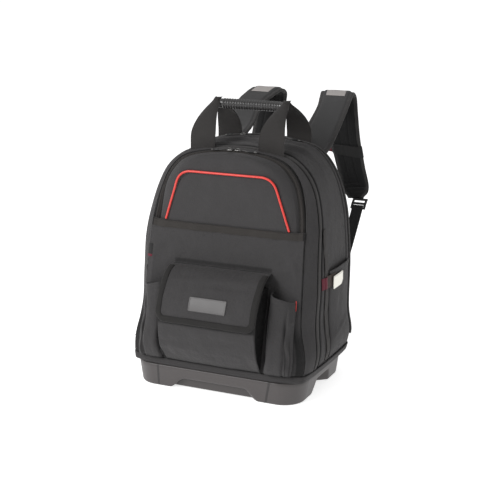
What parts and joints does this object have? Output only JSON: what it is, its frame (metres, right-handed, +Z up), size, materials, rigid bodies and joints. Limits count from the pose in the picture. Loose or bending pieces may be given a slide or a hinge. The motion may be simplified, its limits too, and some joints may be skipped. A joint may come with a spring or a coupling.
{
  "type": "tool backpack",
  "caption": "Upright cloth tool backpack on a moulded base tub, with a front flap pouch, slim pockets, a ribbed carry grip and padded shoulder straps.",
  "frame": {"origin": "middle of the overall box at the ground, under the feet of the base tub", "axes": "+X to the right as seen from the front, +Y towards the shoulder straps, +Z up; the front with its pouch faces -Y"},
  "size_m": [0.3994, 0.5268, 0.5615],
  "materials": {
    "cloth": "matt woven polyester",
    "tape": "woven binding tape",
    "webbing": "ribbed webbing",
    "base": "moulded satin",
    "plastic": "semi-gloss",
    "red_trim": "smooth woven piping",
    "dark_red_tab": "woven tape",
    "label": "bare moulded patch",
    "steel": "satin plate",
    "mesh": "padded spacer mesh"
  },
  "bodies": {
    "root": {"base_tub": "base", "front_zip": "tape", "front_gusset": "cloth", "main_zip": "tape", "front_panel": "cloth", "main_shell": "cloth", "base_binding": "tape", "red_piping": "red_trim", "rear_piping": "tape", "pocket_panel": "cloth", "pocket_hem": "tape", "flap_pouch": "cloth", "pouch_flap": "cloth", "flap_binding": "tape", "label_patch": "label", "slim_pocket_right": "cloth", "slim_pocket_left": "cloth", "red_loop": "red_trim", "seam_tag": "dark_red_tab", "side_tape": "webbing", "side_pocket": "cloth", "clip_webbing": "webbing", "clip_plate": "steel", "side_red_tab": "dark_red_tab", "back_panel": "mesh", "handle_grip": "plastic", "front_handle_right": "webbing", "rear_handle_right": "webbing", "shoulder_strap_right": "mesh", "strap_band_right": "webbing", "strap_tab_right": "dark_red_tab", "strap_patch_right": "tape", "strap_buckle_right": "plastic", "strap_webbing_right": "webbing", "front_slider_right": "plastic", "rear_slider_right": "plastic", "front_pull_right": "plastic", "rear_pull_right": "plastic", "front_handle_left": "webbing", "rear_handle_left": "webbing", "shoulder_strap_left": "mesh", "strap_band_left": "webbing", "strap_tab_left": "dark_red_tab", "strap_patch_left": "tape", "strap_buckle_left": "plastic", "strap_webbing_left": "webbing", "front_slider_left": "plastic", "rear_slider_left": "plastic", "front_pull_left": "plastic", "rear_pull_left": "plastic"}
  },
  "joints": []
}
